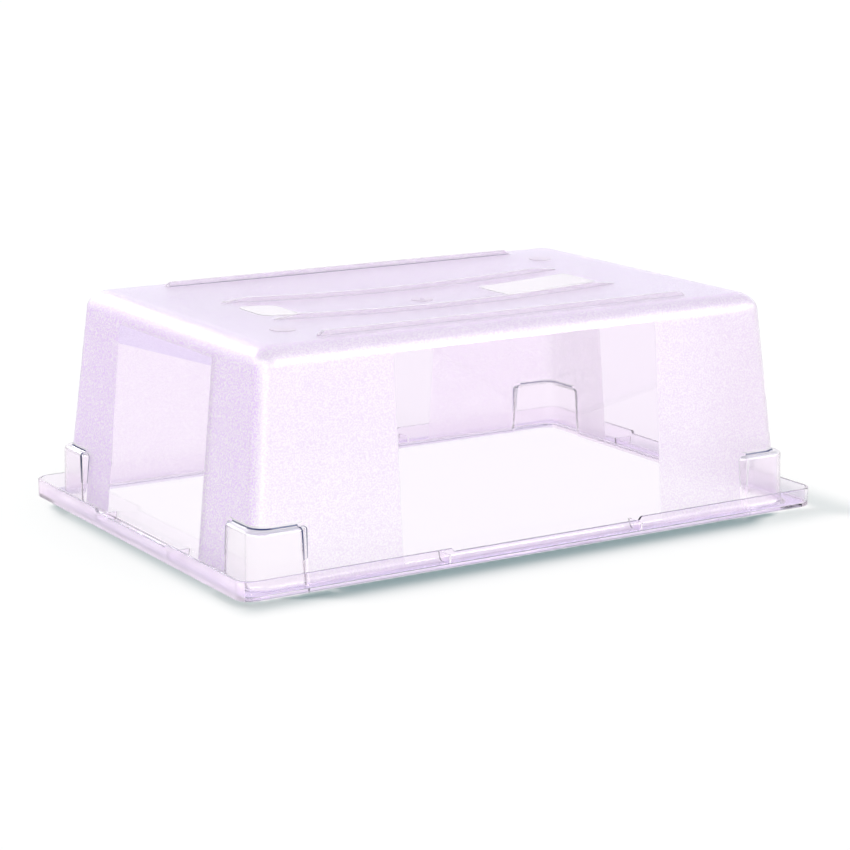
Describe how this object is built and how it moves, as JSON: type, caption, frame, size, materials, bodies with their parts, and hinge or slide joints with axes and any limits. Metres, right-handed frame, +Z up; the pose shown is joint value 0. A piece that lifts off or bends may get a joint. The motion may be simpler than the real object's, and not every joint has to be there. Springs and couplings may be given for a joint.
{
  "type": "food storage box",
  "caption": "Deep rectangular food box in clear frosted plastic, standing on its rim with its base up, with hollow corner lugs, an upturned rim skirt and base runners.",
  "frame": {"origin": "middle of the rim's face, which the box stands on, at the height of the floor", "axes": "+X along the long sides, +Y across the short way towards the back of the picture, +Z up, from the rim to the base"},
  "size_m": [0.6604, 0.4572, 0.222],
  "materials": {
    "frosted_plastic": null,
    "clear_plastic": null
  },
  "bodies": {
    "root": {"wall_shell": "frosted_plastic", "base_panel": "frosted_plastic", "rim_flange": "clear_plastic", "rim_skirt": "clear_plastic", "corner_lug_1": "clear_plastic", "corner_lug_2": "clear_plastic", "corner_lug_3": "clear_plastic", "corner_lug_4": "clear_plastic", "outer_runner_1": "clear_plastic", "outer_runner_2": "clear_plastic", "inner_runner_1": "clear_plastic", "inner_runner_2": "clear_plastic", "rim_web_1": "clear_plastic", "rim_web_2": "clear_plastic", "rim_web_3": "clear_plastic", "rim_web_4": "clear_plastic", "rim_web_5": "clear_plastic", "rim_web_6": "clear_plastic", "rim_web_7": "clear_plastic", "rim_web_8": "clear_plastic", "round_pad_1": "clear_plastic", "round_pad_2": "clear_plastic", "long_smooth_panel": "clear_plastic", "short_smooth_panel": "clear_plastic", "gate_disc": "clear_plastic"}
  },
  "joints": []
}
